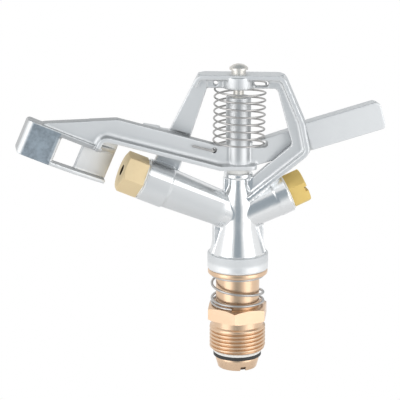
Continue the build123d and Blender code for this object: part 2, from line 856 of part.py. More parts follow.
with BuildPart() as swing_arm:
    with BuildSketch(Plane.XZ):
        with BuildLine():
            Polyline(*left_web, close=True)
        make_face()
        with BuildLine():
            Polyline(*right_web, close=True)
        make_face()
    extrude(amount=arm_web / 2, both=True)
    with BuildSketch(Plane.XZ):
        with BuildLine():
            add(flange_line.line)
            offset(amount=arm_flange, side=Side.RIGHT)
        make_face()
    extrude(amount=arm_flange_depth)
    coves = edges_beside(swing_arm, Plane.XZ.from_local_coords(flange_line.line), arm_flange, arm_web / 2)
    fillet(coves, arm_cove)
    front_edges = swing_arm.edges().group_by(Axis.Y)[0]
    fillet(front_edges.sort_by(Axis.X)[-1], arm_flange_round)
    with BuildSketch(Plane.XY.offset(hub_bottom)):
        Circle(hub_radius)
    extrude(amount=hub_height)
    with BuildSketch(Plane.XZ) as weight_face:
        with BuildLine():
            Polyline(*weight, close=True)
        make_face()
        fillet(weight_face.vertices().sort_by(Axis.X)[2:], weight_round)
    extrude(amount=weight_thickness / 2, both=True)
    # Spoon: plate, rail, curled vane and slanted deflector, drawn from above the jet
    spoon_plane = Plane(junction, x_dir=main_plane.x_dir, z_dir=main_plane.y_dir)
    with BuildSketch(spoon_plane.offset(spoon_high - spoon_plate)):
        with BuildLine():
            Polyline(
                (spoon_start, -spoon_back),
                (spoon_end, -spoon_back),
                (spoon_end, spoon_front - vane_curl),
                (spoon_end - vane_curl, spoon_front),
                (spoon_start + plate_setback, spoon_front),
                (spoon_start + plate_setback, -deflector_lead),
                (spoon_start, -deflector_lead - deflector_spread),
                close=True,
            )
        make_face()
    extrude(amount=spoon_plate)
    with BuildSketch(spoon_plane.offset(spoon_low)):
        with BuildLine():
            Polyline(
                (spoon_start, -spoon_back),
                (deflector_end, -deflector_lead - deflector_wall),
                (vane_start, spoon_front - rail_depth - vane_wall),
                (vane_start + vane_cheek, -spoon_back),
                (spoon_end, -spoon_back),
                (spoon_end, spoon_front - vane_curl),
                (spoon_end - vane_curl, spoon_front),
                (vane_start, spoon_front),
                (deflector_end, rail_depth),
                (spoon_start, -deflector_spread + rail_depth),
                close=True,
            )
        make_face()
    extrude(amount=spoon_rail)
    with BuildSketch(spoon_plane.offset(spoon_low)):
        with BuildLine():
            outer = Line((vane_start, spoon_front - vane_bevel / 2), (vane_start + vane_bevel, spoon_front))
            front = Line(outer @ 1, (spoon_end - vane_curl, spoon_front))
            curl = TangentArc(front @ 1, (spoon_end, spoon_front - vane_curl), tangent=(1, 0))
            Polyline(
                curl @ 1,
                (spoon_end, -spoon_back),
                (spoon_end - vane_wall, -spoon_back),
                (spoon_end - vane_wall, spoon_front - vane_curl),
            )
            inner = TangentArc(
                (spoon_end - vane_wall, spoon_front - vane_curl),
                (spoon_end - vane_curl, spoon_front - vane_wall),
                tangent=(0, 1),
            )
            Polyline(inner @ 1, (vane_start, spoon_front - vane_wall), outer @ 0)
        make_face()
    extrude(amount=spoon_high - spoon_low)
    with BuildSketch(spoon_plane.offset(spoon_low)):
        with BuildLine():
            Polyline(
                (spoon_start, -deflector_lead - deflector_spread),
                (deflector_end, -deflector_lead),
                (deflector_end, -deflector_lead - deflector_wall),
                (spoon_start, -deflector_lead - deflector_spread - deflector_wall),
                close=True,
            )
        make_face()
    extrude(amount=deflector_high - spoon_low)
    with BuildSketch(main_plane):
        for corner, inwards in ((spoon_low, spoon_round), (spoon_high, -spoon_round)):
            with Locations((spoon_end, corner)):
                Rectangle(2 * spoon_round, 2 * spoon_round)
            with Locations((spoon_end - spoon_round, corner + inwards)):
                Circle(spoon_round, mode=Mode.SUBTRACT)
    extrude(amount=far, both=True, mode=Mode.SUBTRACT)
    # Bore for the bushes, slot and hole for the spring's lower end
    with BuildSketch(Plane.XY.offset(hub_bottom)):
        Circle(pin_radius + hub_relief)
    extrude(amount=hub_height, mode=Mode.SUBTRACT)
    for level in (hub_bottom, hub_top - bush_length):
        with BuildSketch(Plane.XY.offset(level)):
            Circle(bush_radius + slip_gap)
        extrude(amount=bush_length, mode=Mode.SUBTRACT)
    with BuildSketch(Plane.XZ):
        web_slot_reach = arm_coil_radius + (web_slot_height - web_slot_length) / 2
        with Locations((web_slot_reach, hub_bottom + web_slot_rise)):
            SlotOverall(web_slot_length, web_slot_height)
        with Locations((-arm_coil_radius, hub_bottom + tail_hole_rise)):
            Circle(tail_hole_radius)
    extrude(amount=arm_flange_depth, both=True, mode=Mode.SUBTRACT)

with BuildPart() as hub_bush_upper:
    with BuildSketch(Plane.XY.offset(hub_top - bush_length)):
        Circle(bush_radius)
        Circle(pin_radius + running_gap, mode=Mode.SUBTRACT)
    extrude(amount=bush_length)

with BuildPart() as hub_bush_lower:
    with BuildSketch(Plane.XY.offset(hub_bottom)):
        Circle(bush_radius)
        Circle(pin_radius + running_gap, mode=Mode.SUBTRACT)
    extrude(amount=bush_length)

# Torsion spring: from the slot in the bridge, round the hub, through the arm's slot and hole to its tail
coil_top = bridge_bottom - arm_wire / 2 - bridge_clear
coil_low = hub_bottom + web_slot_rise
tail_level = hub_bottom + tail_hole_rise
lead_turns = 0.5 + frame_turn / 360
coil_turns = lead_turns + arm_spring_turns + 0.5


def arm_spring_level(made):
    """Level of the torsion spring's wire after a number of turns from the bridge."""
    if made < lead_turns:
        return hook_level - (hook_level - coil_top) * made / lead_turns
    wound = made - lead_turns
    if wound < arm_spring_turns:
        return coil_top - (coil_top - coil_low) * wound / arm_spring_turns
    return coil_low - (coil_low - tail_level) * (wound - arm_spring_turns) / 0.5


with BuildPart() as arm_spring:
    with BuildLine() as arm_path:
        arm_nodes = helix_nodes(
            arm_coil_radius, arm_spring_level, -frame_turn, coil_turns, 1, arm_coil_lean
        )
        hook_start, hook_way = arm_nodes[0]
        Line(hook_start - hook_way * frame_rim_depth / 2, hook_start)
        for (p0, t0), (p1, t1) in zip(arm_nodes, arm_nodes[1:]):
            middle = biarc_middle(p0, t0, p1, t1)
            first_arc = TangentArc(p0, middle, tangent=t0)
            last_arc = TangentArc(middle, p1, tangent=first_arc % 1)
        straight = Line(last_arc @ 1, (last_arc @ 1) + (last_arc % 1) * (arm_web / 2))
        bend_end = (straight @ 1) + Vector(-arm_tail_bend, -arm_tail_bend, arm_tail_lift)
        bend = TangentArc(straight @ 1, bend_end, tangent=straight % 1)
        Line(bend @ 1, (bend @ 1) + (bend % 1) * arm_tail_length)
    with BuildSketch(Plane(arm_path.line @ 0, z_dir=arm_path.line % 0)):
        Circle(arm_wire / 2)
    sweep()
arm_spring_gap = least_gap(Wire(arm_path.edges()), arm_wire, arm_coil_radius)
print("arm spring gap", round(arm_spring_gap, 2))

pieces = {
    "bearing_nipple": bearing_nipple,
    "ptfe_washer": ptfe_washer,
    "bearing_spring": bearing_spring,
    "spring_washer": spring_washer,
    "thrust_ring": thrust_ring,
    "body_casting": body_casting,
    "bearing_stem": bearing_stem,
    "rubber_washer": rubber_washer,
    "main_nozzle": main_nozzle,
    "main_nozzle_gasket": main_nozzle_gasket,
    "rear_nozzle": rear_nozzle,
    "rear_nozzle_gasket": rear_nozzle_gasket,
    "pivot_pin": pivot_pin,
    "pin_collar": pin_collar,
    "arm_seat_washer": arm_seat_washer,
    "arm_spring": arm_spring,
    "swing_arm": swing_arm,
    "hub_bush_upper": hub_bush_upper,
    "hub_bush_lower": hub_bush_lower,
}
for name, piece in pieces.items():
    piece.part.label = name
    export_step(piece.part, f"parts/{name}.step")
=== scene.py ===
"""Impact sprinkler head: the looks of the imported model.

The two castings are softened copies of their solids, the nipple gets its thread, the springs become
smooth drawn wire, and the turned and drawn pieces get fine broken edges. Everything is in metres, in
the model's own frame: +Z up the riser axis, -X towards the main jet.
"""

import json
import math

import bpy

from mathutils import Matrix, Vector

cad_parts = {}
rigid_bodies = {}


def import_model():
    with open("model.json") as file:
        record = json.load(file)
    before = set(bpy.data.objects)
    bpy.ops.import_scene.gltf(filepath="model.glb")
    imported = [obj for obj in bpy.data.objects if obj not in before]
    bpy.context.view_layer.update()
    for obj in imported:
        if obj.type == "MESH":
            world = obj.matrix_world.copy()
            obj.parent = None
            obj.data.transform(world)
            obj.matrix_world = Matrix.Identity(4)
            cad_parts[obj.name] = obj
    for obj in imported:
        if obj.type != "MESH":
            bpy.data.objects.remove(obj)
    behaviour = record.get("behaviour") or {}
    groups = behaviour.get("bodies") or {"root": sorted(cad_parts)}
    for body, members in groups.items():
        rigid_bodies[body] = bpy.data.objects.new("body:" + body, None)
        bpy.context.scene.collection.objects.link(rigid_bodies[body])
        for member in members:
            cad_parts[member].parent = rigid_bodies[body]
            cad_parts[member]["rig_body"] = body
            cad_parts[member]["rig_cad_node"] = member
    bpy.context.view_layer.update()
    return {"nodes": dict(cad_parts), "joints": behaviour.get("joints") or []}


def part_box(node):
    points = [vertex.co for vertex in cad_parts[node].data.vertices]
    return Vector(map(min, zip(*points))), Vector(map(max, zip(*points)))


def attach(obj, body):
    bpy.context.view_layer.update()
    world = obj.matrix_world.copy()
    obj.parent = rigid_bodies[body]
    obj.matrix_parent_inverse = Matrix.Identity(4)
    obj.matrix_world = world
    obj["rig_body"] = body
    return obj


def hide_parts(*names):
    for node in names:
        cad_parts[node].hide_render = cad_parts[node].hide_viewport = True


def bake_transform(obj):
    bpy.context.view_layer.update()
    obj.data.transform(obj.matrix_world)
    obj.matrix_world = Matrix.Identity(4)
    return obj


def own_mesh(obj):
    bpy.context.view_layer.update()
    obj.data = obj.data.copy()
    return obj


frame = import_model()
nodes = frame["nodes"]
MM = 0.001

# Camera of the photograph: its place, its tilt below the horizon and its turn about the riser axis
CAMERA_PLACE = (-0.17257, -1.00346, 0.35440)
CAMERA_TILT = 14.5
CAMERA_TURN = 8.5
CAMERA_LENS = 161.0
SENSOR_WIDTH = 36.0

# Barrels: where their axes meet, how far they rise and their radius
JUNCTION = 82.1 * MM
BARREL_SLOPE = math.radians(23.4)
BARREL_RADIUS = 12.4 * MM

# Cone of the body: how it tapers, and its edge as radius plus tapered height
CONE_TAPER = 0.2756
CONE_EDGE = 32.6 * MM

# Swell of the body's column in front of the barrels: lower radius, upper radius, foot and top
COLUMN_SWELLS = (
    (11.5 * MM, 10.7 * MM, 75.4 * MM, 90 * MM),
    (10.8 * MM, 6.2 * MM, 89.6 * MM, 101 * MM),
)
SWELL_SIDES = 96

# Softening of the castings
CAST_VOXEL = 0.5 * MM
CAST_ROUNDS = 6
CAST_SMOOTHING = 0.5
CAST_TRIANGLES = 180000

# Thread of the nipple: one-inch pipe thread, right-hand
THREAD_PITCH = 2.309 * MM
THREAD_DEPTH = 1.3 * MM
THREAD_RADIUS = 16.62 * MM
THREAD_FOOT = 15.22 * MM
RELIEF_RADIUS = 15.5 * MM
THREAD_TOP = 14.4 * MM
THREAD_PHASE = 0.287
THREAD_FADE = (THREAD_TOP + 0.4 * MM, THREAD_TOP - 0.8 * MM)
GROOVE_WALL = (0.3, 1.0)
CORE_RADIUS = 14.5 * MM
WALL_SIDES = 128
WALL_CUTS = 100

# Edges: what counts as one point, as one plane and as an edge, and the rounds of the pieces
SAME_POINT = 0.002 * MM
SAME_PLANE = math.radians(0.5)
SHARP_EDGE = math.radians(32)
FINE_EDGE = 0.25 * MM
NOZZLE_EDGE = 0.6 * MM
GASKET_EDGE = 0.1 * MM
WASHER_SLACK = 0.02 * MM

# Drawn wire of the springs
WIRE_ROUND = 3
TURN_STEPS = 64
ARM_WIRE = 1.1 * MM
ARM_COIL = 14.8 * MM
ARM_LEAN = 1.0 * MM
ARM_START = -12.5
ARM_LEAD_TURNS = 0.5 + 12.5 / 360
ARM_TURNS = 7.5
ARM_HOOK_LEVEL = 161.2 * MM
ARM_COIL_TOP = 157.25 * MM
ARM_COIL_LOW = 125.2 * MM
ARM_TAIL_LEVEL = 122.4 * MM
ARM_TAIL_TURNS = 0.5
ARM_HOOK = 7.5 * MM
ARM_REACH = 4.0 * MM
ARM_BEND = 1.4 * MM
ARM_BEND_STEPS = 6
ARM_BEND_RISE = 0.2
ARM_TAIL_END = (-27.76 * MM, -4.99 * MM, 125.66 * MM)
BEARING_WIRE = 1.5 * MM
BEARING_COIL = 15.3 * MM
BEARING_START = -112.0
BEARING_PITCH = 2.1 * MM
BEARING_LIVE_TURNS = 1.55
BEARING_CLIMB = 1.5

# Tones of the castings
CAST_TONE = (0.715, 0.73, 0.74, 1)
POLISHED_TONE = (0.80, 0.815, 0.825, 1)
VANE_TONE = (0.26, 0.31, 0.355, 1)

# Roughness of the castings, and how much smoother or rougher some zones are
CAST_ROUGH = 0.46
POLISH = 0.30
FRONT_DULL = 0.36
BASE_DULL = 0.24
HUB_POLISH = 0.1

# Tone and darker tone of the other materials
BEARING_TONES = ((0.74, 0.545, 0.385, 1), (0.67, 0.46, 0.30, 1))
NOZZLE_TONES = ((0.80, 0.69, 0.475, 1), (0.755, 0.62, 0.405, 1))
REAR_TONES = ((0.80, 0.64, 0.27, 1), (0.72, 0.555, 0.215, 1))
SPRING_TONES = ((0.52, 0.51, 0.50, 1), (0.38, 0.37, 0.36, 1))
PIN_TONES = ((0.78, 0.76, 0.72, 1), (0.66, 0.63, 0.58, 1))
WHITE_TONES = ((0.86, 0.86, 0.84, 1), (0.78, 0.77, 0.74, 1))
BLACK_TONES = ((0.02, 0.02, 0.02, 1), (0.045, 0.045, 0.045, 1))
# painted shade inside the driver notches
NOTCH_SHADE_TONE = (0.05, 0.03, 0.02, 1)
# painted shade inside the jet holes
JET_SHADE_TONE = (0.03, 0.02, 0.012, 1)
NOZZLE_ROUGH = 0.68
BEARING_ROUGH = 0.24
# radius of the painted shade in each jet hole
MAIN_JET = 3.4 * MM
REAR_JET = 2.4 * MM

# Zones of the finishes: where each one begins and where it is full
POST_SIDE = (10 * MM, 8.6 * MM)
POST_TOP = (109 * MM, 108 * MM)
GUSSET_EDGE = (CONE_EDGE, CONE_EDGE + 0.8 * MM)
FRONT_START = (9 * MM, 14 * MM)
FRONT_TOP = (5.6 * MM, 4.8 * MM)
# FRONT_SHADE: where the painted shade on the barrel front begins and where it is full
FRONT_SHADE = (-4 * MM, 5 * MM)
BASE_TOP = (60.2 * MM, 59.2 * MM)
# LEVER_FACING and LEVER_END: zone of the painted shade on top of the long lever
LEVER_FACING = (0.72, 0.9)
LEVER_END = (-9 * MM, -12 * MM)
# HUB_SIDE and HUB_FOOT: zone of the smoother hub with painted shade
HUB_SIDE = (9 * MM, 8.2 * MM)
HUB_FOOT = (115 * MM, 117 * MM)

# Zones of the spoon, along the main jet and across it: curled rim and brow over the window, both with
# painted shade, and a dull vane
RIM_START = (135.6 * MM, 136.6 * MM)
BROW_FOOT = (4.2 * MM, 5.2 * MM)
BROW_TOP = (8.6 * MM, 8.0 * MM)
BROW_START = (86 * MM, 91 * MM)
BROW_END = (117.2 * MM, 116.2 * MM)
VANE_START = (115.7 * MM, 116.7 * MM)
VANE_END = (134.4 * MM, 132.4 * MM)
VANE_TOP = (8.6 * MM, 7.8 * MM)

# Driver notches in the foot of the stem: their turn about the riser axis and the zone of their painted
# shade
NOTCH_TURN = math.radians(8)
NOTCH_TOP = (-8.5 * MM, -8.8 * MM)
NOTCH_OUTSIDE = (11.58 * MM, 11.4 * MM)
NOTCH_INSIDE = (9.3 * MM, 9.5 * MM)
NOTCH_FLANK = (2.0 * MM, 1.7 * MM)

# Stage: the floor, the cards (name, size, place, turn, tone), the lamps and the light all round
FLOOR_RADIUS = 0.45
FLOOR_LEVEL = -0.28
FLOOR_SIDES = 96
FLOOR_TONE = 0.92
CARD_FADE = (0.30, 0.5)
CARDS = (
    ("card_at_camera", (1.3, 1.9), (-0.246, -1.43, 0.36), (90, 0, -9.8), (0.34, 0.39, 0.43, 1)),
    ("card_behind", (3.4, 0.74), (1.2, 1.6, 0.06), (90, 0, 0), (0.52, 0.55, 0.57, 1)),
    ("card_above", (3.6, 1.7), (0.5, 0.35, 1.5), (180, 0, 0), (0.34, 0.38, 0.41, 1)),
)
LAMP_PLACES = {"lamp_left": (-1.16, -0.62, 0.35), "lamp_right": (0.96, -0.90, 0.35)}
LAMP_POWER = 6.8
LAMP_SIZE = (1.0, 1.8)
LAMP_AIM = Vector((0, 0, 0.09))
LIT_LEVEL = 0.75


def only(piece):
    """Leave one object selected and active."""
    bpy.ops.object.select_all(action="DESELECT")
    piece.select_set(True)
    bpy.context.view_layer.objects.active = piece


def add_modifier(piece, kind, **settings):
    """Add a modifier with its settings and apply it."""
    only(piece)
    modifier = piece.modifiers.new(kind.lower(), kind)
    for name, value in settings.items():
        setattr(modifier, name, value)
    bpy.ops.object.modifier_apply(modifier=modifier.name)


def merged_copy(source, name):
    """Copy of a solid with its loose triangles merged into one skin."""
    piece = nodes[source].copy()
    piece.data = nodes[source].data.copy()
    piece.parent = None
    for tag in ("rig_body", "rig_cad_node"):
        del piece[tag]
    piece.name = name
    piece.data.name = name
    bpy.context.scene.collection.objects.link(piece)
    only(piece)
    bpy.ops.object.mode_set(mode="EDIT")
    bpy.ops.mesh.select_all(action="SELECT")
    bpy.ops.mesh.customdata_custom_splitnormals_clear()
    bpy.ops.mesh.remove_doubles(threshold=SAME_POINT)
    bpy.ops.object.mode_set(mode="OBJECT")
    return piece


def broken_edges(piece, width):
    """Break a machined piece's sharp edges with a fine round."""
    only(piece)
    bpy.ops.object.mode_set(mode="EDIT")
    bpy.ops.mesh.select_all(action="SELECT")
    bpy.ops.mesh.dissolve_limited(angle_limit=SAME_PLANE)
    bpy.ops.object.mode_set(mode="OBJECT")
    limits = {"limit_method": "ANGLE", "angle_limit": SHARP_EDGE, "use_clamp_overlap": True}
    add_modifier(piece, "BEVEL", width=width, segments=2, **limits)


def shade(piece, angle=30):
    """Smooth shading that keeps edges sharper than an angle."""
    only(piece)
    bpy.ops.object.shade_smooth_by_angle(angle=math.radians(angle))


def dress(piece, material, slot, *replaced):
    """Give a finished piece its material and hide the nodes that it stands for; the slot is not used."""
    piece.data.materials.clear()
    piece.data.materials.append(material)
    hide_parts(*replaced)
    return piece


class Shade:
    """A shader socket that takes part in Python expressions."""

    def __init__(self, tree, socket):
        self.tree = tree
        self.socket = socket

    def math(self, operation, *others):
        return node(self.tree, "Math", {"operation": operation}, dict(enumerate([self, *others])))

    def __add__(self, other):
        return self.math("ADD", other)

    def __sub__(self, other):
        return self.math("SUBTRACT", other)

    def __rsub__(self, other):
        return self.math("MULTIPLY", -1).math("ADD", other)

    def __mul__(self, other):
        return self.math("MULTIPLY", other)

    __radd__ = __add__
    __rmul__ = __mul__


def node(tree, kind, settings=None, inputs=None, output=0):
    """Add a shader node with its settings and inputs, and return one output."""
    made = tree.nodes.new("ShaderNode" + kind)
    for name, value in (settings or {}).items():
        setattr(made, name, value)
    for name, value in (inputs or {}).items():
        if isinstance(value, Shade):
            tree.links.new(value.socket, made.inputs[name])
        else:
            made.inputs[name].default_value = value
    return Shade(tree, made.outputs[output])


def grey(level):
    return (level, level, level, 1.0)


def scaled(tone, factor):
    return tuple(min(1.0, part * factor) for part in tone[:3]) + (1.0,)


class Finish:
    """A material under construction: its tree, its object coordinates and its main shader."""

    def __init__(self, name):
        self.material = bpy.data.materials.new(name)
        self.material.use_nodes = True
        self.tree = self.material.node_tree
        self.shader = self.tree.nodes["Principled BSDF"]
        self.place = self.add("TexCoord", output="Object")
        self.x, self.y, self.z = (self.part(self.place, axis) for axis in range(3))

    def add(self, kind, settings=None, inputs=None, output=0):
        return node(self.tree, kind, settings, inputs, output)

    def part(self, vector, axis):
        """One part of a vector: 0 for x, 1 for y, 2 for z."""
        return self.add("SeparateXYZ", None, {0: vector}, output=axis)

    def noise(self, scale, detail=4.0, roughness=0.6, stretch=(1, 1, 1)):
        where = self.add("Mapping", None, {"Vector": self.place, "Scale": stretch})
        sockets = {"Vector": where, "Scale": scale, "Detail": detail, "Roughness": roughness}
        return self.add("TexNoise", None, sockets)

    def mix(self, factor, low, high):
        """Mix two colours, as sockets or as red, green, blue and alpha."""
        return self.add("Mix", {"data_type": "RGBA"}, {0: factor, 6: low, 7: high}, output=2)

    def step(self, value, low, high):
        """Rise smoothly from 0 to 1 while a value goes from low to high."""
        settings = {"interpolation_type": "SMOOTHSTEP"}
        return self.add("MapRange", settings, {"Value": value, "From Min": low, "From Max": high})

    def bump(self, height, strength, distance, below=None):
        inputs = {"Height": height, "Strength": strength, "Distance": distance}
        if below is not None:
            inputs["Normal"] = below
        return self.add("Bump", None, inputs)

    def radius(self):
        """Distance from the riser axis."""
        return (self.x * self.x + self.y * self.y).math("SQRT")

    def along_jet(self):
        """Distance from the junction along the main jet."""
        return self.x * -math.cos(BARREL_SLOPE) + (self.z - JUNCTION) * math.sin(BARREL_SLOPE)

    def across_jet(self, side=1):
        """Height above the main jet, or above the rear one with side -1, square to it."""
        return self.x * (side * math.sin(BARREL_SLOPE)) + (self.z - JUNCTION) * math.cos(BARREL_SLOPE)

    def done(self, **inputs):
        for name, value in inputs.items():
            socket = self.shader.inputs[name.replace("_", " ")]
            if isinstance(value, Shade):
                self.tree.links.new(value.socket, socket)
            else:
                socket.default_value = value
        return self.material


def cast_skin(finish, tone):
    """Colour, roughness and relief of cast metal: faint clouds, a fine skin, rubbed edges and painted
    shade in the crevices.
    """
    cloud = finish.noise(45, 3)
    skin = finish.noise(900, 5, 0.7)
    grain = finish.noise(240, 4)
    point = finish.add("NewGeometry", output="Pointiness")
    edge = finish.step(point, 0.52, 0.58)
    # painted shade: low pointiness darkens crevices and inner corners
    painted_crevice_shade = finish.step(point, 0.47, 0.42)
    colour = finish.mix(cloud * 0.5, tone, scaled(tone, 0.88))
    colour = finish.mix(edge * 0.6, colour, scaled(tone, 1.1))
    # painted shade in the crevices
    colour = finish.mix(painted_crevice_shade * 0.5, colour, scaled(tone, 0.8))
    relief = finish.bump(grain, 0.14, 0.15 * MM)
    relief = finish.bump(skin, 0.12, 0.05 * MM, relief)
    return colour, cloud * 0.08 + grain * 0.06, relief


def body_finish():
    """Cast head: satin frame, polished barrels, post and cone, a dull barrel front with painted shade
    deepening towards its top, a turned base.
    """
    finish = Finish("cast_body_metal")
    rise = finish.x.math("ABSOLUTE") * math.tan(BARREL_SLOPE) + JUNCTION
    half = BARREL_RADIUS / math.cos(BARREL_SLOPE)
    radius = finish.radius()
    below_frame = finish.step(finish.z - rise, half + 5 * MM, half - 2 * MM)
    post = finish.step(radius, *POST_SIDE) * finish.step(finish.z, *POST_TOP)
    gusset = finish.step(radius + finish.z * CONE_TAPER, *GUSSET_EDGE)
    gusset = gusset * finish.step(finish.z - rise, 1 * MM - half, -1 * MM - half)
    polished = below_frame.math("MAXIMUM", post) * (1 - gusset)
    across = finish.across_jet()
    front = finish.step(finish.along_jet(), *FRONT_START) * finish.step(across, *FRONT_TOP)
    turned = finish.step(finish.z, *BASE_TOP)
    colour, rough, relief = cast_skin(finish, CAST_TONE)
    colour = finish.mix(polished * (1 - front) * 0.8, colour, POLISHED_TONE)
    # painted shade on the barrel front, deepening upwards
    painted_front_shade = front * finish.step(across, *FRONT_SHADE)
    colour = finish.mix(painted_front_shade * 0.8, colour, scaled(CAST_TONE, 0.78))
    rough = rough + CAST_ROUGH - polished * POLISH + front * FRONT_DULL + turned * BASE_DULL
    return finish.done(Base_Color=colour, Metallic=1.0, Roughness=rough, Normal=relief)


def arm_finish():
    """Cast arm: satin, with painted shade on top of its long lever, on the hub, on the curled rim and
    over the spoon's window, a smoother hub and a mottled vane.
    """
    finish = Finish("cast_arm_metal")
    colour, rough, relief = cast_skin(finish, CAST_TONE)
    # painted shade on the upward faces of the long lever
    upward = finish.part(finish.add("NewGeometry", output="Normal"), 2)
    painted_lever_top_shade = finish.step(upward, *LEVER_FACING) * finish.step(finish.x, *LEVER_END)
    colour = finish.mix(painted_lever_top_shade * 0.9, colour, scaled(CAST_TONE, 0.60))
    # the hub is smoother and carries painted shade
    hub_polish_and_shade = finish.step(finish.radius(), *HUB_SIDE) * finish.step(finish.z, *HUB_FOOT)
    colour = finish.mix(hub_polish_and_shade, colour, scaled(CAST_TONE, 0.86))
    along = finish.along_jet()
    across = finish.across_jet()
    # painted shade along the spoon's curled rim
    rim = finish.step(along, *RIM_START)
    colour = finish.mix(rim * 0.7, colour, scaled(CAST_TONE, 0.55))
    # painted shade on the brow over the spoon's window
    brow = finish.step(across, *BROW_FOOT) * finish.step(across, *BROW_TOP)
    brow = brow * finish.step(along, *BROW_START) * finish.step(along, *BROW_END)
    colour = finish.mix(brow * 0.85, colour, scaled(CAST_TONE, 0.62))
    vane = finish.step(along, *VANE_START) * finish.step(along, *VANE_END)
    vane = vane * finish.step(across, *VANE_TOP)
    mottle = finish.noise(330, 5, 0.7) * 0.6 + finish.noise(110, 3) * 0.4
    mottle = finish.step(mottle, 0.3, 0.7)
    stain = finish.mix(mottle, scaled(VANE_TONE, 0.72), scaled(VANE_TONE, 1.4))
    colour = finish.mix(vane * 0.92, colour, stain)
    rough = rough + CAST_ROUGH - hub_polish_and_shade * HUB_POLISH
    return finish.done(Base_Color=colour, Metallic=1.0, Roughness=rough, Normal=relief)


def bearing_finish():
    """Turned brass: fine rings about the riser axis, soft clouds and painted shade in the driver
    notches.
    """
    finish = Finish("bearing_brass")
    rings = finish.noise(1.0, 3, 0.8, (60, 60, 9000))
    cloud = finish.noise(120, 4)
    colour = finish.mix(cloud * 0.6, *BEARING_TONES)
    radius = finish.radius()
    aside = finish.x * math.cos(NOTCH_TURN) + finish.y * math.sin(NOTCH_TURN)
    painted_notch_shade = finish.step(finish.z, *NOTCH_TOP) * finish.step(radius, *NOTCH_OUTSIDE)
    painted_notch_shade = painted_notch_shade * finish.step(radius, *NOTCH_INSIDE)
    painted_notch_shade = painted_notch_shade * finish.step(aside.math("ABSOLUTE"), *NOTCH_FLANK)
    # painted shade inside the driver notches
    colour = finish.mix(painted_notch_shade * 0.9, colour, NOTCH_SHADE_TONE)
    relief = finish.bump(rings, 0.3, 0.03 * MM)
    rough = BEARING_ROUGH + cloud * 0.12
    return finish.done(Base_Color=colour, Metallic=1.0, Roughness=rough, Normal=relief)


def drawn_finish(name, tones, side, hole):
    """Drawn hexagon brass: fine lines, soft clouds and painted shade in the jet hole on the barrel's
    axis.
    """
    finish = Finish(name)
    lines = finish.noise(700, 4, 0.7)
    cloud = finish.noise(140, 4)
    colour = finish.mix(cloud * 0.7, *tones)
    across = finish.across_jet(side)
    off_axis = (across * across + finish.y * finish.y).math("SQRT")
    # painted shade inside the jet hole
    painted_jet_shade = finish.step(off_axis, hole, hole - 0.2 * MM)
    colour = finish.mix(painted_jet_shade * 0.95, colour, JET_SHADE_TONE)
    relief = finish.bump(lines, 0.12, 0.04 * MM)
    rough = lines * 0.1 + NOZZLE_ROUGH
    return finish.done(Base_Color=colour, Metallic=1.0, Roughness=rough, Normal=relief)


def plain_finish(name, tones, rough_level, metallic=0.0):
    """Plastic, rubber or wire: a tone with faint blotches and a fine skin."""
    finish = Finish(name)
    blotch = finish.noise(260, 4)
    skin = finish.noise(1600, 3)
    colour = finish.mix(blotch * 0.6, *tones)
    relief = finish.bump(skin, 0.10, 0.03 * MM)
    rough = rough_level + blotch * 0.1
    return finish.done(Base_Color=colour, Metallic=metallic, Roughness=rough, Normal=relief)


body_metal = body_finish()
arm_metal = arm_finish()
bearing_brass = bearing_finish()
nozzle_brass = drawn_finish("nozzle_brass", NOZZLE_TONES, 1, MAIN_JET)
rear_brass = drawn_finish("rear_nozzle_brass", REAR_TONES, -1, REAR_JET)
spring_steel = plain_finish("spring_steel", SPRING_TONES, 0.28, 1.0)
pin_steel = plain_finish("pin_steel", PIN_TONES, 0.38, 1.0)
white_plastic = plain_finish("white_washer", WHITE_TONES, 0.45)
black_rubber = plain_finish("black_rubber", BLACK_TONES, 0.55)


def swell_column(piece):
    """Fill out the column of the body, so that it stands a little in front of the barrels."""
    for low, high, foot, top in COLUMN_SWELLS:
        bpy.ops.object.select_all(action="DESELECT")
        shape = {"radius1": low, "radius2": high, "depth": top - foot}
        bpy.ops.mesh.primitive_cone_add(vertices=SWELL_SIDES, location=(0, 0, (foot + top) / 2), **shape)
        swell = bpy.context.active_object
        bpy.ops.object.transform_apply(location=True, rotation=True, scale=True)
        only(piece)
        swell.select_set(True)
        bpy.ops.object.join()


def softened_casting(source, name, material, body, shaping=None):
    """Casting with its edges and corners rounded as a mould leaves them."""
    piece = merged_copy(source, name)
    if shaping:
        shaping(piece)
    guide = piece.copy()
    guide.data = piece.data.copy()
    bpy.context.scene.collection.objects.link(guide)
    add_modifier(piece, "REMESH", mode="VOXEL", voxel_size=CAST_VOXEL)
    add_modifier(piece, "SHRINKWRAP", target=guide, wrap_method="NEAREST_SURFACEPOINT")
    bpy.data.objects.remove(guide)
    add_modifier(piece, "SMOOTH", factor=CAST_SMOOTHING, iterations=CAST_ROUNDS)
    share = CAST_TRIANGLES / (2 * len(piece.data.polygons))
    if share < 1:
        add_modifier(piece, "DECIMATE", ratio=share)
    only(piece)
    bpy.ops.object.shade_smooth()
    dress(piece, material, "cast_metal", source)
    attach(piece, body)


def turned_piece(source, name, material, body, slot, edge=FINE_EDGE, slack=0.0):
    """Turned or drawn solid with fine broken edges, and some slack above it."""
    piece = merged_copy(source, name)
    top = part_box(source)[1].z - slack
    for vertex in piece.data.vertices:
        vertex.co.z = min(vertex.co.z, top)
    if edge:
        broken_edges(piece, edge)
    shade(piece)
    dress(piece, material, slot, source)
    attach(piece, body)


def smooth_rise(value, low, high):
    """Rise smoothly from 0 to 1 while a value goes from low to high."""
    share = min(1.0, max(0.0, (value - low) / (high - low)))
    return share * share * (3 - 2 * share)


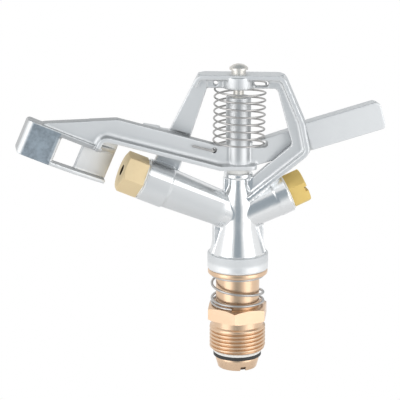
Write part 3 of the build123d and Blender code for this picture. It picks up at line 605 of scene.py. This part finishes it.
def thread_radius_at(angle, level):
    """Radius of the threaded wall: chamfered foot, rounded grooves and a run-out below the relief."""
    turn = level / THREAD_PITCH - angle / (2 * math.pi) + THREAD_PHASE
    groove = smooth_rise(abs(2 * (turn % 1.0) - 1), *GROOVE_WALL)
    fade = smooth_rise(level, *THREAD_FADE)
    run_out = THREAD_TOP + THREAD_RADIUS - level
    return min(THREAD_RADIUS - THREAD_DEPTH * groove * fade, THREAD_FOOT + level, run_out)


def threaded_nipple():
    """Nipple with a cut thread round its lower wall."""
    nipple = merged_copy("bearing_nipple", "nipple")
    for vertex in nipple.data.vertices:
        radius = math.hypot(vertex.co.x, vertex.co.y)
        if vertex.co.z < THREAD_TOP + 0.1 * MM and radius > THREAD_RADIUS - 0.2 * MM:
            vertex.co.x *= CORE_RADIUS / radius
            vertex.co.y *= CORE_RADIUS / radius
    shade(nipple)

    height = THREAD_TOP + THREAD_RADIUS - RELIEF_RADIUS
    bpy.ops.object.select_all(action="DESELECT")
    shape = {"vertices": WALL_SIDES, "radius": THREAD_RADIUS, "depth": height}
    bpy.ops.mesh.primitive_cylinder_add(end_fill_type="NOTHING", location=(0, 0, height / 2), **shape)
    wall = bpy.context.active_object
    bpy.ops.object.transform_apply(location=True, rotation=True, scale=True)
    bpy.ops.object.mode_set(mode="EDIT")
    bpy.ops.mesh.select_mode(type="EDGE")
    bpy.ops.mesh.select_all(action="DESELECT")
    bpy.ops.object.mode_set(mode="OBJECT")
    points = wall.data.vertices
    for edge in wall.data.edges:
        start, end = (points[index].co.z for index in edge.vertices)
        edge.select = abs(start - end) > height / 2
    bpy.ops.object.mode_set(mode="EDIT")
    bpy.ops.mesh.subdivide(number_cuts=WALL_CUTS)
    bpy.ops.mesh.select_mode(type="VERT")
    bpy.ops.object.mode_set(mode="OBJECT")
    for vertex in wall.data.vertices:
        angle = math.atan2(vertex.co.y, vertex.co.x)
        radius = thread_radius_at(angle, vertex.co.z)
        vertex.co.x = radius * math.cos(angle)
        vertex.co.y = radius * math.sin(angle)
    only(wall)
    bpy.ops.object.shade_smooth()
    only(nipple)
    wall.select_set(True)
    bpy.ops.object.join()
    dress(nipple, bearing_brass, "bearing_brass", "bearing_nipple")
    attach(nipple, "bearing")


def drawn_wire(name, points, wire):
    """Round wire along a line of points, with closed ends."""
    line = bpy.data.curves.new(name, "CURVE")
    line.dimensions = "3D"
    line.bevel_depth = wire / 2
    line.bevel_resolution = WIRE_ROUND
    line.use_fill_caps = True
    spline = line.splines.new("POLY")
    spline.points.add(len(points) - 1)
    for place, point in zip(spline.points, points):
        place.co = (*point, 1.0)
    wire_piece = bpy.data.objects.new(name, line)
    bpy.context.scene.collection.objects.link(wire_piece)
    only(wire_piece)
    bpy.ops.object.convert(target="MESH")
    wire_piece = bpy.context.active_object
    shade(wire_piece, 50)
    return wire_piece


def arm_spring_level(made):
    """Level of the torsion spring's wire after a number of turns from the bridge."""
    if made < ARM_LEAD_TURNS:
        return ARM_HOOK_LEVEL + (ARM_COIL_TOP - ARM_HOOK_LEVEL) * made / ARM_LEAD_TURNS
    wound = made - ARM_LEAD_TURNS
    if wound < ARM_TURNS:
        return ARM_COIL_TOP + (ARM_COIL_LOW - ARM_COIL_TOP) * wound / ARM_TURNS
    return ARM_COIL_LOW + (ARM_TAIL_LEVEL - ARM_COIL_LOW) * (wound - ARM_TURNS) / ARM_TAIL_TURNS


def torsion_spring():
    """Spring between the bridge and the arm, with its hook and its bent tail."""
    turns = ARM_LEAD_TURNS + ARM_TURNS + ARM_TAIL_TURNS
    count = round(turns * TURN_STEPS)
    points = []
    for step in range(count + 1):
        made = turns * step / count
        angle = math.radians(ARM_START + 360 * made)
        x = ARM_LEAN * (1 - made / turns) + ARM_COIL * math.cos(angle)
        points.append(Vector((x, ARM_COIL * math.sin(angle), arm_spring_level(made))))
    hook = points[0] - (points[1] - points[0]).normalized() * ARM_HOOK
    reach = points[-1] + (points[-1] - points[-2]).normalized() * ARM_REACH
    bend = []
    for step in range(1, ARM_BEND_STEPS + 1):
        share = step / ARM_BEND_STEPS
        angle = math.radians(90 * share)
        drop = Vector((math.cos(angle) - 1, -math.sin(angle), ARM_BEND_RISE * share))
        bend.append(reach + drop * ARM_BEND)
    points = [hook, *points, reach, *bend, Vector(ARM_TAIL_END)]
    spring = drawn_wire("spring_of_arm", points, ARM_WIRE)
    dress(spring, spring_steel, "spring_steel", "arm_spring")
    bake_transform(spring)


def thrust_spring():
    """Open spring round the sleeve: a dead turn on the hexagon, then turns that climb to the washer."""
    low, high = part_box("bearing_spring")
    foot = low.z + BEARING_WIRE / 2
    top = high.z - BEARING_WIRE / 2
    dead_end = foot + BEARING_PITCH
    turns = 1 + BEARING_LIVE_TURNS
    count = round(turns * TURN_STEPS)
    points = []
    for step in range(count + 1):
        made = turns * step / count
        angle = math.radians(BEARING_START - 360 * made)
        opened = max(0.0, made - 1) / BEARING_LIVE_TURNS
        level = foot + BEARING_PITCH * min(made, 1.0) + (top - dead_end) * opened**BEARING_CLIMB
        x, y = BEARING_COIL * math.cos(angle), BEARING_COIL * math.sin(angle)
        points.append(Vector((x, y, level)))
    spring = drawn_wire("spring_of_bearing", points, BEARING_WIRE)
    dress(spring, spring_steel, "spring_steel", "bearing_spring")
    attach(spring, "bearing")
    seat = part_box("spring_washer")[0].z - low.z
    press = next(joint for joint in frame["joints"] if joint["name"] == "head_press")
    travel = max(press["range_m"])
    1 - travel / seat
    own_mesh(spring)


softened_casting("body_casting", "cast_body", body_metal, "head", swell_column)
softened_casting("swing_arm", "cast_arm", arm_metal, "arm")
threaded_nipple()
turned_piece("bearing_stem", "stem", bearing_brass, "head", "bearing_brass")
turned_piece("thrust_ring", "ring_under_head", bearing_brass, "spring_seat", "bearing_brass")
turned_piece("main_nozzle", "nozzle_main", nozzle_brass, "head", "nozzle_brass", NOZZLE_EDGE)
turned_piece("rear_nozzle", "nozzle_rear", rear_brass, "head", "nozzle_brass", NOZZLE_EDGE)
turned_piece("spring_washer", "washer_on_spring", spring_steel, "spring_seat", "spring_steel")
turned_piece("pivot_pin", "arm_pin", pin_steel, "head", "pin_steel", 0)
turned_piece("pin_collar", "collar_on_pin", pin_steel, "head", "pin_steel", 0)
turned_piece("arm_seat_washer", "washer_under_hub", white_plastic, "head", "white_washer")
turned_piece("ptfe_washer", "washer_white", white_plastic, "bearing", "white_washer")
turned_piece("rubber_washer", "washer_black", black_rubber, "head", "black_rubber", slack=WASHER_SLACK)
turned_piece("main_nozzle_gasket", "gasket_main", white_plastic, "head", "white_washer", GASKET_EDGE)
turned_piece("rear_nozzle_gasket", "gasket_rear", white_plastic, "head", "white_washer", GASKET_EDGE)
turned_piece("hub_bush_upper", "bush_upper", white_plastic, "arm", "white_washer")
turned_piece("hub_bush_lower", "bush_lower", white_plastic, "arm", "white_washer")
torsion_spring()
thrust_spring()


def soft_card(name, size, place, turn, tone):
    """Card that only the metal sees, fading to white at its side edges."""
    finish = Finish(name)
    fade = finish.step(finish.x.math("ABSOLUTE"), *CARD_FADE)
    glow = finish.mix(fade, tone, grey(1.0))
    finish.done(Base_Color=grey(0.0), Specular_IOR_Level=0.0, Emission_Color=glow, Emission_Strength=1.0)
    bpy.ops.object.select_all(action="DESELECT")
    turn = [math.radians(angle) for angle in turn]
    bpy.ops.mesh.primitive_plane_add(size=1, location=place, rotation=turn)
    card = bpy.context.active_object
    card.name = name
    card.scale = (size[0], size[1], 1)
    card.data.materials.append(finish.material)
    card.visible_camera = False
    card.visible_diffuse = False
    card.visible_shadow = False


def studio():
    """Pale floor, white surroundings, tall soft lamps and the cards that draw the metal's streaks."""
    floor_paint = Finish("pale_floor")
    floor_paint.done(Base_Color=grey(FLOOR_TONE), Roughness=0.8)
    bpy.ops.object.select_all(action="DESELECT")
    shape = {"vertices": FLOOR_SIDES, "radius": FLOOR_RADIUS, "fill_type": "NGON"}
    bpy.ops.mesh.primitive_circle_add(location=(0, 0, FLOOR_LEVEL), **shape)
    floor = bpy.context.active_object
    floor.name = "floor"
    floor.data.materials.append(floor_paint.material)

    for card in CARDS:
        soft_card(*card)

    world = bpy.data.worlds.new("studio")
    bpy.context.scene.world = world
    world.use_nodes = True
    tree = world.node_tree
    tree.nodes.clear()
    path = tree.nodes.new("ShaderNodeLightPath")
    seen_by = ("Is Camera Ray", "Is Glossy Ray", "Is Transmission Ray")
    camera_ray, glossy_ray, through_ray = (Shade(tree, path.outputs[name]) for name in seen_by)
    shown = camera_ray.math("MAXIMUM", glossy_ray).math("MAXIMUM", through_ray)
    level = shown * (1 - LIT_LEVEL) + LIT_LEVEL
    white = node(tree, "Background", None, {"Color": grey(1.0), "Strength": level})
    output = tree.nodes.new("ShaderNodeOutputWorld")
    tree.links.new(white.socket, output.inputs["Surface"])

    for name, place in LAMP_PLACES.items():
        bpy.ops.object.light_add(type="AREA", location=place)
        lamp = bpy.context.active_object
        lamp.name = name
        lamp.data.shape = "RECTANGLE"
        lamp.data.energy = LAMP_POWER
        lamp.data.size, lamp.data.size_y = LAMP_SIZE
        aim = LAMP_AIM - Vector(place)
        lamp.rotation_euler = aim.to_track_quat("-Z", "Y").to_euler()


def camera():
    """Camera at the photograph's place."""
    turn = (math.radians(90 - CAMERA_TILT), 0, math.radians(-CAMERA_TURN))
    bpy.ops.object.camera_add(location=CAMERA_PLACE, rotation=turn)
    eye = bpy.context.active_object
    eye.data.lens = CAMERA_LENS
    eye.data.sensor_width = SENSOR_WIDTH
    eye.data.clip_end = 20
    bpy.context.scene.camera = eye


studio()
camera()
bpy.context.scene.view_settings.view_transform = "Standard"

bpy.context.view_layer.update()
